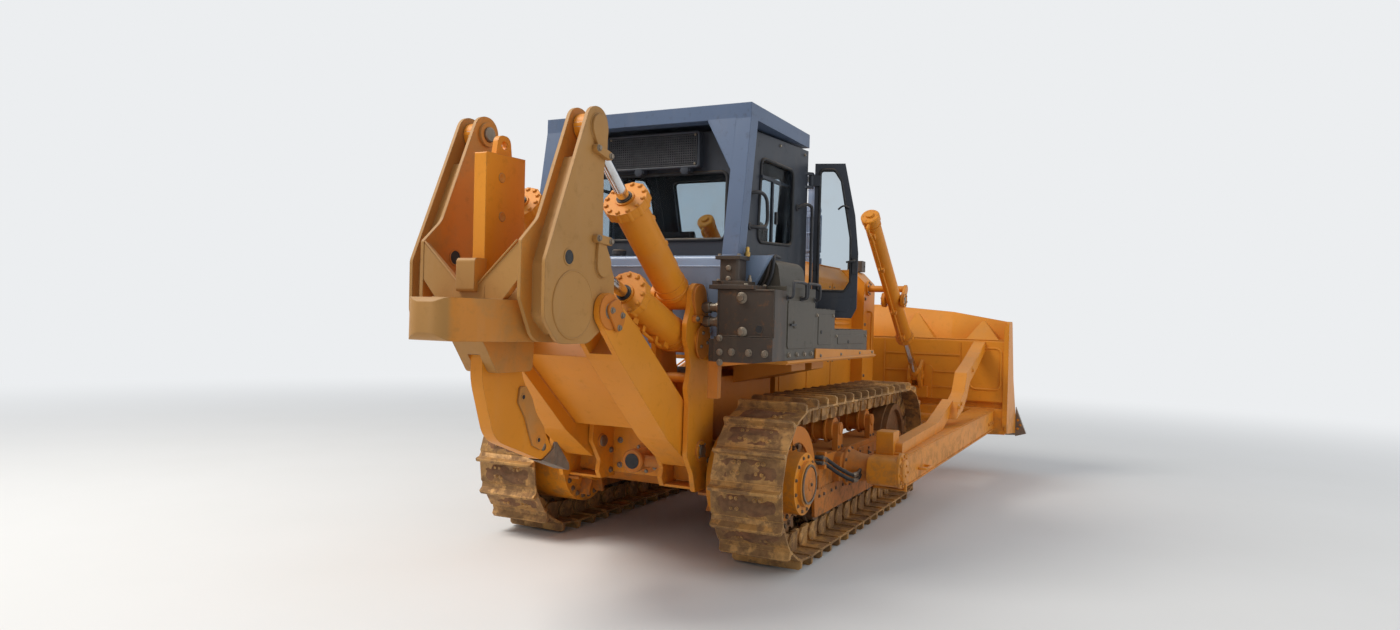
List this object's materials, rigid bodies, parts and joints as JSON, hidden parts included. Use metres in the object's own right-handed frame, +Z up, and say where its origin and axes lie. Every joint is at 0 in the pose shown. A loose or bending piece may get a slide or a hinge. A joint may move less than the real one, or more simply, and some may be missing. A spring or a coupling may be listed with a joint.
{
  "type": "crawler bulldozer",
  "caption": "Crawler bulldozer with a semi-U blade on push arms, a cab under a roll-over frame and a raised parallelogram ripper behind.",
  "frame": {"origin": "on the ground under the middle of the whole machine's length and width", "axes": "+X forward to the blade, +Y to the machine's left, +Z up"},
  "size_m": [8.65, 4.42, 3.49],
  "materials": {
    "body_paint": "gloss, dusty",
    "frame_paint": "dusty",
    "carrier_paint": "dusty",
    "rops_paint": "satin",
    "cab_paint": "satin",
    "dark_paint": "satin",
    "box_paint": "dusty",
    "fender_paint": "dusty",
    "tank_paint": "satin",
    "exhaust_steel": "weathered",
    "engine_iron": "rough",
    "glass": "clear",
    "seat_fabric": "matte",
    "console_plastic": "matte",
    "track_steel": "worn, muddy",
    "sprocket_steel": "worn",
    "roller_steel": "oily",
    "edge_steel": "worn",
    "rod_chrome": "polished",
    "pin_steel": "oiled"
  },
  "bodies": {
    "machine": {"main_frame": "frame_paint", "engine": "engine_iron", "hood": "body_paint", "radiator_guard": "body_paint", "exhaust_stack": "exhaust_steel", "air_cleaner": "dark_paint", "platform": "fender_paint", "side_boxes": "box_paint", "step_boxes": "box_paint", "rops_brackets": "dark_paint", "fuel_tank": "tank_paint", "cab": "cab_paint", "cab_glass": "glass", "rops": "rops_paint", "seat": "seat_fabric", "console": "console_plastic", "work_lamps": "dark_paint", "track_left": "track_steel", "track_right": "track_steel", "sprockets": "sprocket_steel", "final_drives": "body_paint", "track_frames": "frame_paint", "track_rollers": "roller_steel", "carrier_rollers": "frame_paint", "idlers": "sprocket_steel", "equalizer_bar": "frame_paint", "cylinder_yokes": "body_paint", "ripper_mount": "body_paint"},
    "blade_assembly": {"push_arms": "body_paint", "blade": "body_paint", "cutting_edge": "edge_steel", "blade_braces": "body_paint", "stabilizers": "body_paint"},
    "blade_lift_barrel_left": {"blade_lift_barrel_left": "body_paint"},
    "blade_lift_barrel_right": {"blade_lift_barrel_right": "body_paint"},
    "blade_lift_rod_left": {"blade_lift_rod_left": "rod_chrome"},
    "blade_lift_rod_right": {"blade_lift_rod_right": "rod_chrome"},
    "ripper_arm_frame": {"ripper_arms": "body_paint"},
    "ripper_pins": {"ripper_pins": "pin_steel"},
    "ripper_head": {"ripper_carrier": "carrier_paint", "ripper_shank": "body_paint", "ripper_tip": "edge_steel"},
    "door_left": {"door_left": "cab_paint", "door_glass_left": "glass"},
    "door_right": {"door_right": "cab_paint", "door_glass_right": "glass"},
    "ripper_lift_barrel_left": {"ripper_lift_barrel_left": "body_paint"},
    "ripper_lift_barrel_right": {"ripper_lift_barrel_right": "body_paint"},
    "ripper_lift_rod_left": {"ripper_lift_rod_left": "rod_chrome"},
    "ripper_lift_rod_right": {"ripper_lift_rod_right": "rod_chrome"},
    "ripper_tilt_barrel_left": {"ripper_tilt_barrel_left": "body_paint"},
    "ripper_tilt_barrel_right": {"ripper_tilt_barrel_right": "body_paint"},
    "ripper_tilt_rod_left": {"ripper_tilt_rod_left": "rod_chrome"},
    "ripper_tilt_rod_right": {"ripper_tilt_rod_right": "rod_chrome"}
  },
  "joints": [
    {"name": "blade_lift", "type": "hinge", "parent": "machine", "child": "blade_assembly", "pos_m": [-0.515, 0, 0.62], "axis": [0, -1, 0], "range_deg": [-13, 10.5]},
    {"name": "blade_lift_barrel_left_turn", "type": "hinge", "parent": "machine", "child": "blade_lift_barrel_left", "pos_m": [2.155, 0.965, 2.143], "axis": [0, -1, 0], "range_deg": [-22, 17.86]},
    {"name": "blade_lift_rod_left_slide", "type": "slide", "parent": "blade_lift_barrel_left", "child": "blade_lift_rod_left", "axis": [0.7867, 0, -0.6173], "range_m": [-0.50807, 0.62856]},
    {"name": "blade_lift_barrel_right_turn", "type": "hinge", "parent": "machine", "child": "blade_lift_barrel_right", "pos_m": [2.155, -0.965, 2.143], "axis": [0, -1, 0], "range_deg": [-22, 17.86]},
    {"name": "blade_lift_rod_right_slide", "type": "slide", "parent": "blade_lift_barrel_right", "child": "blade_lift_rod_right", "axis": [0.7867, 0, -0.6173], "range_m": [-0.50807, 0.62856]},
    {"name": "ripper_lift", "type": "hinge", "parent": "machine", "child": "ripper_arm_frame", "pos_m": [-2.055, 0, 0.87], "axis": [0, -1, 0], "range_deg": [0, 66]},
    {"name": "ripper_pins_turn", "type": "hinge", "parent": "ripper_arm_frame", "child": "ripper_pins", "pos_m": [-3.305, 0, 1.895], "axis": [0, -1, 0], "range_deg": [-67, 1]},
    {"name": "ripper_tilt", "type": "hinge", "parent": "ripper_pins", "child": "ripper_head", "pos_m": [-3.305, 0, 1.895], "axis": [0, -1, 0], "range_deg": [-12, 12]},
    {"name": "ripper_lift_barrel_left_turn", "type": "hinge", "parent": "machine", "child": "ripper_lift_barrel_left", "pos_m": [-2.105, 0.44, 1.7], "axis": [0, -1, 0], "range_deg": [-1, 64.12]},
    {"name": "ripper_lift_rod_left_slide", "type": "slide", "parent": "ripper_lift_barrel_left", "child": "ripper_lift_rod_left", "axis": [-0.9303, 0, 0.3668], "range_m": [-0.002, 0.58518]},
    {"name": "ripper_tilt_barrel_left_turn", "type": "hinge", "parent": "machine", "child": "ripper_tilt_barrel_left", "pos_m": [-2.175, 0.44, 2.02], "axis": [0, -1, 0], "range_deg": [-1, 67]},
    {"name": "ripper_tilt_rod_left_slide", "type": "slide", "parent": "ripper_tilt_barrel_left", "child": "ripper_tilt_rod_left", "axis": [-0.7733, 0, 0.6341], "range_m": [-0.172, 0.172]},
    {"name": "ripper_lift_barrel_right_turn", "type": "hinge", "parent": "machine", "child": "ripper_lift_barrel_right", "pos_m": [-2.105, -0.44, 1.7], "axis": [0, -1, 0], "range_deg": [-1, 64.12]},
    {"name": "ripper_lift_rod_right_slide", "type": "slide", "parent": "ripper_lift_barrel_right", "child": "ripper_lift_rod_right", "axis": [-0.9303, 0, 0.3668], "range_m": [-0.002, 0.58518]},
    {"name": "ripper_tilt_barrel_right_turn", "type": "hinge", "parent": "machine", "child": "ripper_tilt_barrel_right", "pos_m": [-2.175, -0.44, 2.02], "axis": [0, -1, 0], "range_deg": [-1, 67]},
    {"name": "ripper_tilt_rod_right_slide", "type": "slide", "parent": "ripper_tilt_barrel_right", "child": "ripper_tilt_rod_right", "axis": [-0.7733, 0, 0.6341], "range_m": [-0.172, 0.172]},
    {"name": "door_left_swing", "type": "hinge", "parent": "machine", "child": "door_left", "pos_m": [-0.72352, 0.95372, 2.5], "axis": [0, 0, 1], "range_deg": [0, 117]},
    {"name": "door_right_swing", "type": "hinge", "parent": "machine", "child": "door_right", "pos_m": [-0.72352, -0.95372, 2.5], "axis": [0, 0, 1], "range_deg": [0, 117]}
  ],
  "couplings": [
    {"joint": "blade_lift_barrel_left_turn", "follows": "blade_lift", "ratio": 1.6538},
    {"joint": "blade_lift_rod_left_slide", "follows": "blade_lift", "m_per_rad": -2.7615},
    {"joint": "blade_lift_barrel_right_turn", "follows": "blade_lift", "ratio": 1.6538},
    {"joint": "blade_lift_rod_right_slide", "follows": "blade_lift", "m_per_rad": -2.7615},
    {"joint": "ripper_pins_turn", "follows": "ripper_lift", "ratio": -1},
    {"joint": "ripper_lift_barrel_left_turn", "follows": "ripper_lift", "ratio": 0.95637},
    {"joint": "ripper_lift_rod_left_slide", "follows": "ripper_lift", "m_per_rad": 0.50627},
    {"joint": "ripper_tilt_barrel_left_turn", "follows": "ripper_lift", "ratio": 1},
    {"joint": "ripper_tilt_rod_left_slide", "follows": "ripper_tilt", "m_per_rad": 0.81168},
    {"joint": "ripper_lift_barrel_right_turn", "follows": "ripper_lift", "ratio": 0.95637},
    {"joint": "ripper_lift_rod_right_slide", "follows": "ripper_lift", "m_per_rad": 0.50627},
    {"joint": "ripper_tilt_barrel_right_turn", "follows": "ripper_lift", "ratio": 1},
    {"joint": "ripper_tilt_rod_right_slide", "follows": "ripper_tilt", "m_per_rad": 0.81168}
  ]
}
